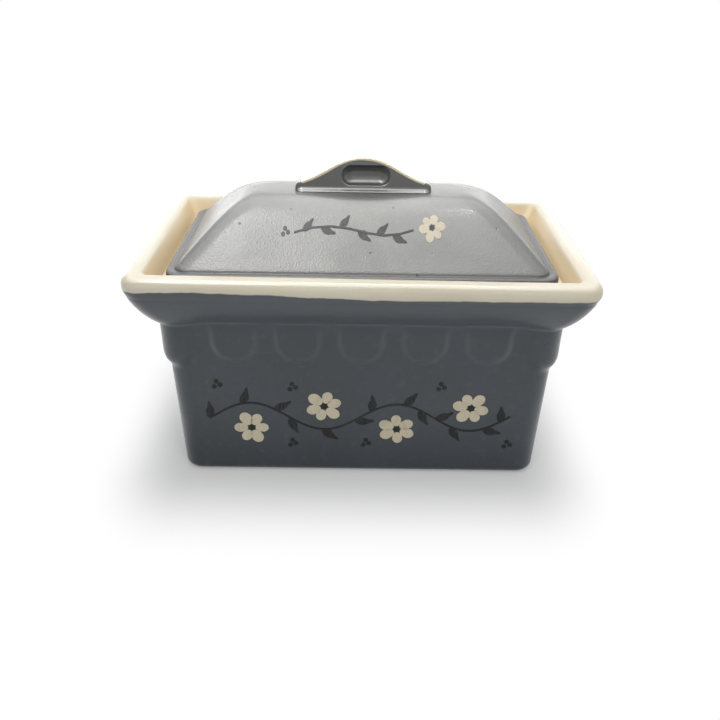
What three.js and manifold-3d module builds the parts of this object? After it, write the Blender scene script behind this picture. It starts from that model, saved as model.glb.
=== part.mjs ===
import * as THREE from 'three';
import { mergeVertices } from 'three/addons/utils/BufferGeometryUtils.js';
import Module from 'manifold-3d';

// Covered earthenware terrine. Millimetres, +Z up, +X along the length.
// The origin is at the middle of the base, on the surface that the dish stands on.

const wasm = await Module();
wasm.setup();

// Dish, outside
const rimLength = 200;
const rimWidth = 128;
const dishHeight = 101;
const rimCorner = 8; // plan radius of the rim's outer corners
const bodyCorner = 9; // plan radius of the body's corners
const rimLand = 9.1; // across the rim's top, roundings included
const rimRound = 2.2;
const bandHeight = 7; // upright band at the edge of the rim
const bandLean = 1; // the band's foot lies this far inside its top
const ovoloHeight = 15.6; // swelling moulding between the neck and the band
const wall = 6.7;
const wallDraft = 2.7; // the wall leans out this much from base to neck
const baseRound = 3.5;

// Moulded lobes that hang below the neck
const lobeRise = 3.6; // how far the lobes stand out of the wall
const lobeHeight = 19.2;
const lobeTip = 8.5; // height of a lobe's rounded lower end
const lobeEdge = 5; // the lobes' lower edge rounds off over this height
const longSideLobes = 5;
const longSideLobeWidth = 22;
const endLobes = 3;
const endLobeWidth = 17.5;
const cornerLobeReach = 16; // along each side, from the corner

// Dish, inside
const seatDepth = 6.5; // from the rim's top down to the ledge that carries the lid
const coveRun = 4.4; // hollow moulding from the rim's inner edge to the ledge
const seatWidth = 7.3;
const seatRound = 1;
const floorThickness = 7;
const floorRound = 8;
const rimInnerCorner = 5;
const cavityCorner = 10;

// Lid
const lidPlay = 1; // clearance all round between the flange and the cove
const flangeThickness = 4.8;
const flangeRound = 1.5;
const flangeLand = 6.2; // from the flange's edge to the foot of the dome
const flangeLap = 3.5; // the flange's underside runs this far inside the ledge
const grooveWidth = 2; // groove along the foot of the dome
const grooveDepth = 0.7;
const domeHeight = 24.7;
const domeCorner = 8;
const lidWall = 5;

// Handle, luted on the crown of the lid
const handleLength = 62;
const handleHeight = 15;
const handleThickness = 9; // at the foot
const crestThickness = 6.6;
const handleTail = 3.6; // height of the handle's two ends
const handleRound = 1.5;
const footSpread = 2.8; // slip fillet round the handle's foot
const footHeight = 2.4;
const crownMargin = 2.7; // flat crown left beside the fillet
const scoopWidth = 22; // finger scoop in each face
const scoopHeight = 10;
const scoopMiddle = 7; // height above the crown
const scoopWeb = 1.6; // clay left between the two scoops

// Pull of the freehand curves, as shares of each curve's own run and rise
const ovoloPull = new THREE.Vector2(0.81, 0.56);
const domeSlopePull = new THREE.Vector2(0.36, 0.52);
const domeShoulderPull = new THREE.Vector2(0.64, 0.97);
const ogeeTailPull = new THREE.Vector2(0.55, 0.38);
const ogeeCrownPull = new THREE.Vector2(0.37, 1);
const roundToWall = 0.42; // a rounding takes no more than this share of the piece that it rounds

// Fineness of the rounded stretches
const cornerSteps = 6;
const roundSteps = 3;
const curveSteps = 8;

const halfTurn = Math.PI;
const quarterTurn = Math.PI / 2;

// Levels
const zBand = dishHeight - bandHeight;
const zNeck = zBand - ovoloHeight;
const zSeat = dishHeight - seatDepth;
const zFlangeTop = zSeat + flangeThickness;
const zCrown = zFlangeTop + domeHeight;

// Places on the profile, measured outwards from the rim's outer edge
const xBand = -bandLean;
const xSeatOuter = -rimLand - coveRun;
const xSeatInner = xSeatOuter - seatWidth;
const xWallTop = xSeatInner + wall;
const xWallFoot = xWallTop - wallDraft;
const xNeck = xWallTop + lobeRise;
const xFlange = xSeatOuter - lidPlay;
const xDomeFoot = xFlange - flangeLand;
const xHollow = xSeatInner - flangeLap;
const crownWidth = handleThickness + 2 * (footSpread + crownMargin);

// One closed loop with rounded corners, level at z
function loop(halfLength, halfWidth, corner, z) {
  const smallestCorner = rimRound / 4;
  const largestCorner = Math.min(halfLength, halfWidth) - smallestCorner;
  const radius = THREE.MathUtils.clamp(corner, smallestCorner, largestCorner);
  const points = [];
  for (let quarter = 0; quarter < 4; quarter += 1) {
    const sideX = quarter === 0 || quarter === 3 ? 1 : -1;
    const sideY = quarter < 2 ? 1 : -1;
    for (let step = 0; step <= cornerSteps; step += 1) {
      const angle = quarterTurn * (quarter + step / cornerSteps);
      const x = sideX * (halfLength - radius) + radius * Math.cos(angle);
      const y = sideY * (halfWidth - radius) + radius * Math.sin(angle);
      points.push(new THREE.Vector3(x, y, z));
    }
  }
  return points;
}

// The loop round the dish at a place on its profile
function ring(x, z, corner) {
  return loop(rimLength / 2 + x, rimWidth / 2 + x, corner, z);
}

// Skin over a stack of loops, with the first and the last one closed flat
function loft(loops) {
  const count = loops[0].length;
  const positions = loops.flat().flatMap((point) => point.toArray());
  const triangles = [];
  for (let level = 0; level < loops.length - 1; level += 1) {
    for (let i = 0; i < count; i += 1) {
      const here = level * count + i;
      const beside = level * count + ((i + 1) % count);
      triangles.push(here, beside, beside + count);
      triangles.push(here, beside + count, here + count);
    }
  }
  const last = (loops.length - 1) * count;
  const startMiddle = loops.length * count;
  const endMiddle = startMiddle + 1;
  positions.push(0, 0, loops[0][0].z);
  positions.push(0, 0, loops.at(-1)[0].z);
  for (let i = 0; i < count; i += 1) {
    const next = (i + 1) % count;
    triangles.push(startMiddle, next, i);
    triangles.push(endMiddle, last + i, last + next);
  }
  const geometry = new THREE.BufferGeometry();
  geometry.setAttribute('position', new THREE.Float32BufferAttribute(positions, 3));
  geometry.setIndex(triangles);
  return geometry;
}

function arc(x, z, radiusX, radiusZ, from, to, steps) {
  const clockwise = to < from;
  return new THREE.EllipseCurve(x, z, radiusX, radiusZ, from, to, clockwise).getPoints(steps);
}

function toSolid(geometry) {
  const bare = geometry.clone();
  bare.deleteAttribute('normal');
  bare.deleteAttribute('uv');
  const merged = mergeVertices(bare);
  const vertProperties = new Float32Array(merged.attributes.position.array);
  const triVerts = new Uint32Array(merged.index.array);
  return new wasm.Manifold(new wasm.Mesh({ numProp: 3, vertProperties, triVerts }));
}

function toGeometry(solid) {
  const mesh = solid.getMesh();
  const geometry = new THREE.BufferGeometry();
  geometry.setAttribute('position', new THREE.BufferAttribute(mesh.vertProperties, 3));
  geometry.setIndex(new THREE.BufferAttribute(mesh.triVerts, 1));
  return geometry;
}

function piece(name, geometry, colour, roughness) {
  const material = new THREE.MeshStandardMaterial({ color: colour, roughness, metalness: 0 });
  const mesh = new THREE.Mesh(geometry, material);
  mesh.geometry.computeVertexNormals();
  mesh.name = name;
  return mesh;
}

// Dish body: base edge, wall, ovolo, band, rim, cove, ledge and cavity in one profile
function dishBody() {
  const loops = [];
  const add = (points, corner) => {
    for (const point of points) loops.push(ring(point.x, point.y, corner(point)));
  };
  const xBase = xWallFoot - baseRound;
  const base = arc(xBase, baseRound, baseRound, baseRound, -quarterTurn, 0, roundSteps);
  add(base, (point) => bodyCorner + point.x - xWallFoot);
  add([new THREE.Vector2(xWallTop, zNeck - lobeRise)], () => bodyCorner);
  const ovolo = new THREE.QuadraticBezierCurve(
    new THREE.Vector2(xNeck, zNeck),
    new THREE.Vector2(xNeck + ovoloPull.x * (xBand - xNeck), zNeck + ovoloPull.y * ovoloHeight),
    new THREE.Vector2(xBand, zBand),
  );
  const ovoloCorner = (point) => THREE.MathUtils.mapLinear(point.y, zNeck, zBand, bodyCorner, rimCorner);
  add(ovolo.getPoints(curveSteps), ovoloCorner);
  const zRound = dishHeight - rimRound;
  add(arc(-rimRound, zRound, rimRound, rimRound, 0, quarterTurn, roundSteps), () => rimCorner);
  const xInnerRound = rimRound - rimLand;
  const innerRound = arc(xInnerRound, zRound, rimRound, rimRound, quarterTurn, halfTurn, roundSteps);
  add(innerRound, () => rimInnerCorner);
  const cove = arc(xSeatOuter, zRound, coveRun, zRound - zSeat, 0, -quarterTurn, curveSteps);
  add(cove.slice(1), () => rimInnerCorner);
  const zLip = zSeat - seatRound;
  const lip = arc(xSeatInner + seatRound, zLip, seatRound, seatRound, quarterTurn, halfTurn, roundSteps);
  add(lip, () => rimInnerCorner);
  const xFloor = xWallFoot - wall - floorRound;
  const zFloor = floorThickness + floorRound;
  const floor = arc(xFloor, zFloor, floorRound, floorRound, 0, -quarterTurn, curveSteps);
  add(floor, (point) => cavityCorner + point.x - xFloor - floorRound);
  return loft(loops);
}

// Belt of the lobes' thickness round the neck, open inside, from which the lobes are cut
function lobeBelt() {
  const zTip = zNeck - lobeHeight;
  const zInOvolo = zNeck + lobeRise / 4;
  const edge = arc(xWallTop, zTip + lobeEdge, lobeRise, lobeEdge, -quarterTurn, 0, roundSteps);
  const face = [...edge, new THREE.Vector2(xNeck, zInOvolo)];
  const outside = loft(face.map((point) => ring(point.x, point.y, bodyCorner)));
  const xInWall = xWallTop - wall / 2;
  const over = [zTip - lobeRise, zInOvolo + lobeRise];
  const inside = loft(over.map((z) => ring(xInWall, z, bodyCorner)));
  return toSolid(outside).subtract(toSolid(inside));
}

// A lobe's front outline, pushed through the belt along one direction
function lobePrism(width, x, y, turn) {
  const zStraight = zNeck - lobeHeight + lobeTip;
  const zOver = zNeck + lobeRise;
  const shape = new THREE.Shape();
  shape.moveTo(width / 2, zOver);
  shape.lineTo(-width / 2, zOver);
  shape.lineTo(-width / 2, zStraight);
  shape.absellipse(0, zStraight, width / 2, lobeTip, halfTurn, 2 * halfTurn, false, 0);
  const reach = bodyCorner + wall + lobeRise;
  const prism = new THREE.ExtrudeGeometry(shape, {
    depth: 2 * reach,
    bevelEnabled: false,
    curveSegments: curveSteps,
  });
  prism.translate(0, 0, -reach);
  prism.rotateX(quarterTurn);
  prism.rotateZ(turn);
  prism.translate(x, y, 0);
  return toSolid(prism);
}

// Middles of the lobes on one side, with equal gaps between the two corner lobes
function lobeMiddles(halfSide, count, width) {
  const gap = (2 * (halfSide - cornerLobeReach) - count * width) / (count + 1);
  return Array.from({ length: count }, (_, i) => (width + gap) * (i - (count - 1) / 2));
}

function lobes() {
  const halfLength = rimLength / 2 + xNeck;
  const halfWidth = rimWidth / 2 + xNeck;
  const cornerLobeWidth = cornerLobeReach * Math.SQRT2;
  const prisms = [];
  for (const side of [-1, 1]) {
    for (const x of lobeMiddles(halfLength, longSideLobes, longSideLobeWidth)) {
      prisms.push(lobePrism(longSideLobeWidth, x, side * halfWidth, 0));
    }
    for (const y of lobeMiddles(halfWidth, endLobes, endLobeWidth)) {
      prisms.push(lobePrism(endLobeWidth, side * halfLength, y, quarterTurn));
    }
    for (const end of [-1, 1]) {
      const x = end * (halfLength - bodyCorner);
      const y = side * (halfWidth - bodyCorner);
      prisms.push(lobePrism(cornerLobeWidth, x, y, (-end * side * quarterTurn) / 2));
    }
  }
  const outlines = prisms.reduce((all, prism) => all.add(prism));
  return lobeBelt().intersect(outlines);
}

// Half section of the dome, from its foot to the flat crown
function domeCurve(xFoot, zFoot, zTop) {
  const run = rimWidth / 2 + xFoot - crownWidth / 2;
  const rise = zTop - zFoot;
  return new THREE.CubicBezierCurve(
    new THREE.Vector2(xFoot, zFoot),
    new THREE.Vector2(xFoot - domeSlopePull.x * run, zFoot + domeSlopePull.y * rise),
    new THREE.Vector2(xFoot - domeShoulderPull.x * run, zFoot + domeShoulderPull.y * rise),
    new THREE.Vector2(xFoot - run, zTop),
  ).getPoints(curveSteps);
}

// Lid shell: hollow underside, flange, groove and hipped dome
function lidShell() {
  const zEdge = zFlangeTop - flangeRound;
  const profile = [
    ...domeCurve(xHollow, zSeat, zCrown - lidWall).reverse(),
    new THREE.Vector2(xFlange, zSeat),
    ...arc(xFlange - flangeRound, zEdge, flangeRound, flangeRound, 0, quarterTurn, roundSteps),
    new THREE.Vector2(xDomeFoot + grooveWidth, zFlangeTop),
    new THREE.Vector2(xDomeFoot + grooveWidth / 2, zFlangeTop - grooveDepth),
    ...domeCurve(xDomeFoot, zFlangeTop, zCrown),
  ];
  return loft(profile.map((point) => ring(point.x, point.y, domeCorner)));
}

// Ogee plate that thins towards its crest
function handlePlate() {
  const round = Math.min(handleRound, roundToWall * handleTail, roundToWall * handleThickness);
  const end = handleLength / 2 - round;
  const crest = handleHeight - round;
  const tail = handleTail - round;
  const tailRun = ogeeTailPull.x * end;
  const tailRise = round + ogeeTailPull.y * crest;
  const crownRun = ogeeCrownPull.x * end;
  const crownRise = ogeeCrownPull.y * crest;
  const ogee = new THREE.Shape();
  ogee.moveTo(-end, round);
  ogee.lineTo(end, round);
  ogee.lineTo(end, tail);
  ogee.bezierCurveTo(tailRun, tailRise, crownRun, crownRise, 0, crest);
  ogee.bezierCurveTo(-crownRun, crownRise, -tailRun, tailRise, -end, tail);
  const plate = new THREE.ExtrudeGeometry(ogee, {
    depth: handleThickness - 2 * round,
    bevelSize: round,
    bevelThickness: round,
    bevelSegments: roundSteps,
    curveSegments: curveSteps,
  });
  plate.translate(0, 0, round - handleThickness / 2);
  plate.rotateX(quarterTurn);
  const place = plate.attributes.position;
  for (let i = 0; i < place.count; i += 1) {
    place.setY(i, (place.getY(i) * thicknessAt(place.getZ(i))) / handleThickness);
  }
  return plate;
}

function thicknessAt(height) {
  return THREE.MathUtils.mapLinear(height, 0, handleHeight, handleThickness, crestThickness);
}

// Slip fillet that spreads the handle's foot on the crown
function handleFoot() {
  const tuck = handleRound / 4;
  const halfLength = handleLength / 2 - tuck;
  const halfWidth = handleThickness / 2 - tuck;
  const hollow = arc(footSpread, footHeight, footSpread, footHeight, -quarterTurn, -halfTurn, roundSteps);
  return loft(hollow.map((point) => {
    const corner = halfWidth + point.x;
    return loop(halfLength + point.x, corner, corner, point.y);
  }));
}

function handleBody() {
  const thickness = thicknessAt(scoopMiddle);
  const scoopDepth = (thickness - scoopWeb) / 2;
  const scoop = new THREE.SphereGeometry(1, 2 * curveSteps, curveSteps);
  scoop.rotateX(quarterTurn);
  scoop.scale(scoopWidth / 2, scoopDepth, scoopHeight / 2);
  let body = toSolid(handlePlate()).add(toSolid(handleFoot()));
  for (const side of [-1, 1]) {
    const cut = scoop.clone().translate(0, (side * thickness) / 2, scoopMiddle);
    body = body.subtract(toSolid(cut));
  }
  return toGeometry(body);
}

const terrine = new THREE.Group();
const dish = toSolid(dishBody()).add(lobes());
terrine.add(piece('dish', toGeometry(dish), 0x4b5156, 0.3));

const cover = new THREE.Group();
const lid = piece('lid', lidShell(), 0x5a5f63, 0.25);
const handle = piece('lid_handle', handleBody(), 0x53565a, 0.28);
handle.position.z = zCrown;
cover.add(lid, handle);
terrine.add(cover);

export default terrine;
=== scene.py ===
from math import atan2, cos, degrees, exp, hypot, pi, radians, sin

import bmesh
import bpy
from mathutils import Matrix, Vector
from mathutils.geometry import interpolate_bezier


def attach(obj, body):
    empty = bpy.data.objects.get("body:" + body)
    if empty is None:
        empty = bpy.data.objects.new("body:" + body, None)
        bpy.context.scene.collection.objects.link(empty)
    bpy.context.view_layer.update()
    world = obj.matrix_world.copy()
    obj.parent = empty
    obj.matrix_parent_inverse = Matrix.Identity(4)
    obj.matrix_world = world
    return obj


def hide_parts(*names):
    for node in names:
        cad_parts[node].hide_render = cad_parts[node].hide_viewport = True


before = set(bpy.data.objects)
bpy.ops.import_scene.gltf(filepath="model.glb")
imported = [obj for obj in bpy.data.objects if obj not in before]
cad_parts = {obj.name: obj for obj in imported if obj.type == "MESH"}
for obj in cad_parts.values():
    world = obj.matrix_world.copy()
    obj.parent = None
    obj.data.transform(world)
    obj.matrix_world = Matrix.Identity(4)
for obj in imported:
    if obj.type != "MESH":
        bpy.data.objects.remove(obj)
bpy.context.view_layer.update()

mm = 0.001
near = 0.01 * mm
rimHalf = (100, 64)  # half the length and width over the rim; places on both profiles count from it


# tools that the pieces share

def leaveEdit():
    bpy.ops.object.mode_set(mode="OBJECT")


def selectAll():
    bpy.ops.mesh.select_all(action="SELECT")


def editAll():
    bpy.ops.object.mode_set(mode="EDIT")
    selectAll()


def clearSelection():
    if bpy.context.object and bpy.context.object.mode != "OBJECT":
        leaveEdit()
    bpy.ops.object.select_all(action="DESELECT")


def makeActive(piece):
    clearSelection()
    piece.select_set(True)
    bpy.context.view_layer.objects.active = piece


def editMesh(piece):
    mesh = bmesh.from_edit_mesh(piece.data)
    mesh.verts.ensure_lookup_table()
    return mesh


def pick(piece, test):
    bpy.ops.mesh.select_all(action="DESELECT")
    mesh = editMesh(piece)
    for vert in mesh.verts:
        vert.select_set(test(vert.co))
    mesh.select_flush(True)


def pickEdges(piece, test):
    bpy.ops.mesh.select_all(action="DESELECT")
    for edge in editMesh(piece).edges:
        edge.select_set(test(edge.verts[0].co, edge.verts[1].co))


def move(step):
    bpy.ops.transform.translate(value=step)


def resize(size, middle=(0, 0, 0)):
    bpy.ops.transform.resize(value=size, center_override=middle)


def roundOff(size, segments, kind="EDGES"):
    bpy.ops.mesh.bevel(offset=size, segments=segments, affect=kind, profile=0.5)


def applyModifier(piece, kind, **values):
    makeActive(piece)
    modifier = piece.modifiers.new(kind.lower(), kind)
    for key, value in values.items():
        setattr(modifier, key, value)
    bpy.ops.object.modifier_apply(modifier=modifier.name)


def finishMesh(piece):
    makeActive(piece)
    editAll()
    bpy.ops.mesh.remove_doubles(threshold=near)
    bpy.ops.mesh.normals_make_consistent(inside=False)
    leaveEdit()
    bpy.ops.object.shade_smooth()


def drop(piece):
    mesh = piece.data
    bpy.data.objects.remove(piece)
    bpy.data.meshes.remove(mesh)


def drawLine(points):
    clearSelection()
    bpy.ops.mesh.primitive_plane_add(size=1)
    editAll()
    bpy.ops.mesh.merge(type="CENTER")
    move(tuple(place * mm for place in points[0]))
    for last, new in zip(points, points[1:]):
        step = tuple((after - before) * mm for before, after in zip(last, new))
        bpy.ops.mesh.extrude_vertices_move(TRANSFORM_OT_translate={"value": step})
    selectAll()
    return bpy.context.object


def pointValues(piece, *names):
    for name in names:
        piece.data.attributes.new(name, "FLOAT", "POINT")
    return [piece.data.attributes[name] for name in names]


def arcPoints(x, z, reachX, reachZ, start, end, steps):
    turns = [radians(start + (end - start) * i / steps) for i in range(steps + 1)]
    return [(x + reachX * cos(turn), z + reachZ * sin(turn)) for turn in turns]


def curvePoints(knots, steps):
    points = interpolate_bezier(*[Vector((x, z, 0)) for x, z in knots], steps + 1)
    return [(point.x, point.y) for point in points]


def linePoints(start, end, steps):
    return [
        (start[0] + (end[0] - start[0]) * i / steps, start[1] + (end[1] - start[1]) * i / steps)
        for i in range(steps + 1)
    ]


def smooth(share):
    share = min(max(share, 0), 1)
    return share * share * (3 - 2 * share)


def bell(away, width):
    return exp(-((away / width) ** 2))


# one quarter of a rounded oblong, grown row by row: each row is half length, half width, corner, height

def startQuarter(name, row, cuts):
    length, width, corner, height = [value * mm for value in row]
    clearSelection()
    bpy.ops.mesh.primitive_plane_add(size=1, location=(0, 0, 0))
    piece = bpy.context.object
    piece.name = name
    editAll()
    move((0.5, 0.5, height))
    resize((length, width, 1), (0, 0, height))
    pick(piece, lambda co: co.x > length - near and co.y > width - near)
    roundOff(corner, cuts["corner"], "VERTICES")
    pickEdges(piece, lambda a, b: min(a.y, b.y) > width - near)
    bpy.ops.mesh.subdivide(number_cuts=cuts["long"] - 1)
    pickEdges(piece, lambda a, b: min(a.x, b.x) > length - near)
    bpy.ops.mesh.subdivide(number_cuts=cuts["end"] - 1)
    pickEdges(piece, lambda a, b: max(a.x, b.x) > near and max(a.y, b.y) > near)
    return piece


def growQuarter(piece, rows):
    count = sum(vert.select for vert in editMesh(piece).verts)
    for last, row in zip(rows, rows[1:]):
        lastLength, lastWidth, lastCorner, lastHeight = [value * mm for value in last]
        length, width, corner, height = [value * mm for value in row]
        rise = (0, 0, height - lastHeight)
        bpy.ops.mesh.extrude_edges_move(TRANSFORM_OT_translate={"value": rise})
        lastX, lastY = lastLength - lastCorner, lastWidth - lastCorner
        newX, newY = length - corner, width - corner
        parts = (
            (lambda co: co.x < lastX + near, (newX / lastX, width / lastWidth)),
            (lambda co: co.y < lastY + near, (length / lastLength, newY / lastY)),
        )
        loop = editMesh(piece).verts[-count:]
        sides = [[i for i, vert in enumerate(loop) if test(vert.co)] for test, _ in parts]
        sides.append([i for i in range(count) if i not in sides[0] and i not in sides[1]])
        for side, picked in enumerate(sides):
            loop = editMesh(piece).verts[-count:]
            for vert in loop:
                vert.select_set(False)
            for i in picked:
                loop[i].select_set(True)
            if side < 2:
                resize((*parts[side][1], 1), (0, 0, height))
            elif abs(corner - lastCorner) < near / 10:
                move((newX - lastX, newY - lastY, 0))
            else:
                turn = corner / lastCorner
                middle = ((newX - turn * lastX) / (1 - turn), (newY - turn * lastY) / (1 - turn), height)
                resize((turn, turn, 1), middle)
        mesh = editMesh(piece)
        for vert in mesh.verts[-count:]:
            vert.select_set(True)
        mesh.select_flush(True)
    return count


def closeQuarter(piece, height, shares):
    for share, last in zip(shares, [1, *shares]):
        bpy.ops.mesh.extrude_edges_move(TRANSFORM_OT_translate={"value": (0, 0, 0)})
        size = share / last
        resize((size, size, 1), (0, 0, height * mm))
    leaveEdit()


def quarterShell(name, rows, cuts, shares=(0.7, 0.4, 0)):
    piece = startQuarter(name, rows[0], cuts)
    plateVerts = len(editMesh(piece).verts)
    count = growQuarter(piece, rows)
    closeQuarter(piece, rows[-1][3], shares)
    return piece, plateVerts, count


def rowVerts(number, plateVerts, count):
    return range(plateVerts + (number - 1) * count, plateVerts + number * count)


def mirrorQuarter(piece):
    applyModifier(piece, "MIRROR", use_axis=(True, True, False), merge_threshold=near)
    finishMesh(piece)


# nodes

def newMaterial(name):
    material = bpy.data.materials.new(name)
    material.use_nodes = True
    material.node_tree.nodes.clear()
    return material, Tree(material.node_tree)


class Tree:
    def __init__(self, tree):
        self.tree = tree

    def node(self, kind, inputs=None, **values):
        made = self.tree.nodes.new(kind)
        for key, value in values.items():
            setattr(made, key, value)
        for key, value in (inputs or {}).items():
            self.set(made.inputs[key], value)
        return made

    def set(self, socket, value):
        if hasattr(value, "is_output"):
            self.tree.links.new(value, socket)
        else:
            socket.default_value = value

    def maths(self, operation, first, second=0.0):
        return self.node("ShaderNodeMath", {0: first, 1: second}, operation=operation).outputs[0]

    def vectors(self, operation, first, second=(0, 0, 0), out="Vector"):
        return self.node("ShaderNodeVectorMath", {0: first, 1: second}, operation=operation).outputs[out]

    def span(self, value, low, high, toLow=0.0, toHigh=1.0, kind="SMOOTHSTEP"):
        sockets = {"Value": value, "From Min": low, "From Max": high, "To Min": toLow, "To Max": toHigh}
        return self.node("ShaderNodeMapRange", sockets, interpolation_type=kind).outputs[0]

    def mix(self, share, first, second):
        return self.node("ShaderNodeMix", {0: share, 6: first, 7: second}, data_type="RGBA").outputs[2]

    def noise(self, place, scale, detail=2.0, rough=0.5):
        sockets = {"Vector": place, "Scale": scale, "Detail": detail, "Roughness": rough}
        return self.node("ShaderNodeTexNoise", sockets).outputs[0]

    def bump(self, height, depth, strength=1.0, under=None):
        sockets = {"Height": height, "Strength": strength, "Distance": depth}
        if under is not None:
            sockets["Normal"] = under
        return self.node("ShaderNodeBump", sockets).outputs[0]

    def objectPlace(self):
        return self.node("ShaderNodeTexCoord").outputs["Object"]

    def attribute(self, name):
        return self.node("ShaderNodeAttribute", attribute_name=name).outputs["Fac"]

    def seenRays(self):
        rays = self.node("ShaderNodeLightPath").outputs
        seen = self.maths("MAXIMUM", rays["Is Camera Ray"], rays["Is Glossy Ray"])
        return self.maths("MAXIMUM", seen, rays["Is Transmission Ray"])

    def surface(self, shader):
        self.node("ShaderNodeOutputMaterial", {"Surface": shader.outputs[0]})

    def coat(self, tone, rough, normal, more=None):
        sockets = {"Base Color": tone, "Roughness": rough, "Normal": normal, **(more or {})}
        self.surface(self.node("ShaderNodeBsdfPrincipled", sockets))


# glazes; a noise is scale, detail and roughness, a span is from and to

roughPatches = {"noise": (35, 3, 0.6), "span": (0.3, 0.7)}
greyGlazeSettings = {
    "tone": (0.0205, 0.0295, 0.0385, 1),
    "lightTone": (0.0275, 0.038, 0.0485, 1),
    "thinAndLitTone": (0.110, 0.125, 0.142, 1),  # where the glaze runs off an edge, and painted light on the ovolo and round the handle's scoop
    "poolTone": (0.024, 0.029, 0.035, 1),
    "cloud": (16, 3, 0.55),
    "cloudSpan": (0.32, 0.68),
    "grain": (240, 4, 0.6),
    "thinGrain": (0.5, 0.8, 0.0, 0.16),  # single grains go this far to the thin and the pooled tone
    "poolGrain": (0.45, 0.25, 0.0, 0.3),
    "ior": 1.5,
    "sheen": (1, 1, 1, 1),
    "roughLow": 0.28,
    "roughHigh": 0.4,
    "skin": (0.35, 0.14),  # glossy skin over the satin body: weight and roughness
    "peel": (620, 2, 0.5),  # orange peel
    "peelDepth": 0.00003,
    "wave": (55, 1, 0.4),
    "waveDepth": 0.00022,
}
lidGlazeSettings = {
    **greyGlazeSettings,
    "tone": (0.036, 0.038, 0.038, 1),
    "lightTone": (0.046, 0.048, 0.047, 1),
    "sheen": (1.0, 0.985, 0.94, 1),  # a little warm
    "ior": 1.7,  # a fatter, glossier coat
    "roughLow": 0.47,
    "roughHigh": 0.56,
    "skin": (0.4, 0.12),
    "peel": (1100, 2, 0.5),
    "peelDepth": 0.00007,
    "pebbles": {  # the crown is smoother
        "scale": 1500.0, "soft": 0.6, "depth": 0.00007, "fade": (122.5, 118.5),
    },
    "pinholes": {
        "scale": 110.0, "radius": 0.0008, "bottom": 0.4, "share": 0.6,
        "depth": 0.0002, "tone": (0.012, 0.011, 0.010, 1),
    },
}
flangeGlazeSettings = {
    **lidGlazeSettings,
    "ior": 1.5,  # the coat runs thin and dull along the lid's edge
    "skin": (0.25, 0.16),
}
handleGlazeSettings = {
    **lidGlazeSettings,
    "roughLow": 0.3,
    "roughHigh": 0.38,
    "skin": (0.6, 0.08),
    "peelDepth": 0.00003,
    "handleShade": 0.3,  # painted shade: how far all of the handle's grey goes to the pool tone, a darker copy of the lid glaze
    "wander": (90, 2, 0.5),
    "wanderSpan": (0.2, 0.8, -0.1, 0.1),
    "crestEdge": (0.4, 0.6),
    "crestShare": 0.5,
}
creamGlazeSettings = {
    "tone": (0.76, 0.685, 0.52, 1),
    "lightTone": (0.80, 0.74, 0.59, 1),
    "insideShadeTone": (0.79, 0.62, 0.37, 1),  # painted shade: darker, warmer cream down the inside, under the rim and the lid
    "crestTone": (0.51, 0.43, 0.18, 1),  # on the handle's crest
    "freckle": (0.55, 0.45, 0.29, 1),
    "cloud": (22, 3, 0.5),
    "cloudSpan": (0.35, 0.7),
    "freckles": (900, 2, 0.5),
    "freckleSpan": (0.70, 0.78, 0.0, 0.2),
    "ior": 1.36,
    "sheen": (1, 1, 1, 1),
    "roughLow": 0.3,
    "roughHigh": 0.42,
    "skin": (0.06, 0.2),
}
bareClaySettings = {
    "tone": (0.50, 0.38, 0.26, 1),
    "lightTone": (0.66, 0.54, 0.40, 1),
    "rough": 0.85,
    "grain": (900, 5, 0.7),
    "grainBump": (0.00008, 0.6),  # depth, strength
}


def greyTone(tree, place, s):
    cloud = tree.span(tree.noise(place, *s["cloud"]), *s["cloudSpan"])
    grain = tree.noise(place, *s["grain"])
    tone = tree.mix(cloud, s["tone"], s["lightTone"])
    tone = tree.mix(tree.span(grain, *s["thinGrain"]), tone, s["thinAndLitTone"])
    tone = tree.mix(tree.span(grain, *s["poolGrain"]), tone, s["poolTone"])
    tone = tree.mix(tree.attribute("pool"), tone, s["poolTone"])
    # paler where the glaze runs thin, and painted light on the ovolo and round the handle's scoop
    return tree.mix(tree.attribute("thinAndLit"), tone, s["thinAndLitTone"])


def creamTone(tree, place, s):
    cloud = tree.span(tree.noise(place, *s["cloud"]), *s["cloudSpan"])
    tone = tree.mix(cloud, s["tone"], s["lightTone"])
    # painted shade down the inside of the dish
    tone = tree.mix(tree.attribute("insideShade"), tone, s["insideShadeTone"])
    freckles = tree.span(tree.noise(place, *s["freckles"]), *s["freckleSpan"])
    return tree.mix(freckles, tone, s["freckle"])


def glazeBump(tree, place, s):
    peel = tree.noise(place, *s["peel"])
    wave = tree.noise(place, *s["wave"])
    return tree.bump(peel, s["peelDepth"], under=tree.bump(wave, s["waveDepth"]))


def glazeShader(tree, place, tone, s, normal):
    patches = tree.noise(place, *roughPatches["noise"])
    rough = tree.span(patches, *roughPatches["span"], s["roughLow"], s["roughHigh"])
    weight, skinRough = s["skin"]
    skin = {"Coat Weight": weight, "Coat Roughness": skinRough, "Coat Normal": normal}
    tree.coat(tone, rough, normal, {**skin, "IOR": s["ior"], "Specular Tint": s["sheen"]})


# the wiped line between grey and cream on the dish's band: place along the length, height in mm
wipedLine = {
    "places": [
        (-rimHalf[0], 96.7), (-78, 97.7), (-50, 97.5), (-30, 96.7), (-10, 95.9),
        (10, 95.3), (35, 95.4), (65, 95.6), (92, 95.5), (rimHalf[0], 98.2),
    ],
    "low": 94.0,
    "high": 99.0,
    "wander": 0.5,
    "wanderNoise": (70, 3, 0.6),
    "wanderSpan": (0.2, 0.8),
    "blur": 0.35,
    "edge": (0.2, 3.2),  # thin grey is left in the wiped edge and fades over this width
    "edgeShare": 0.25,
    "edgeTone": (0.46, 0.46, 0.38, 1),
}


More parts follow.
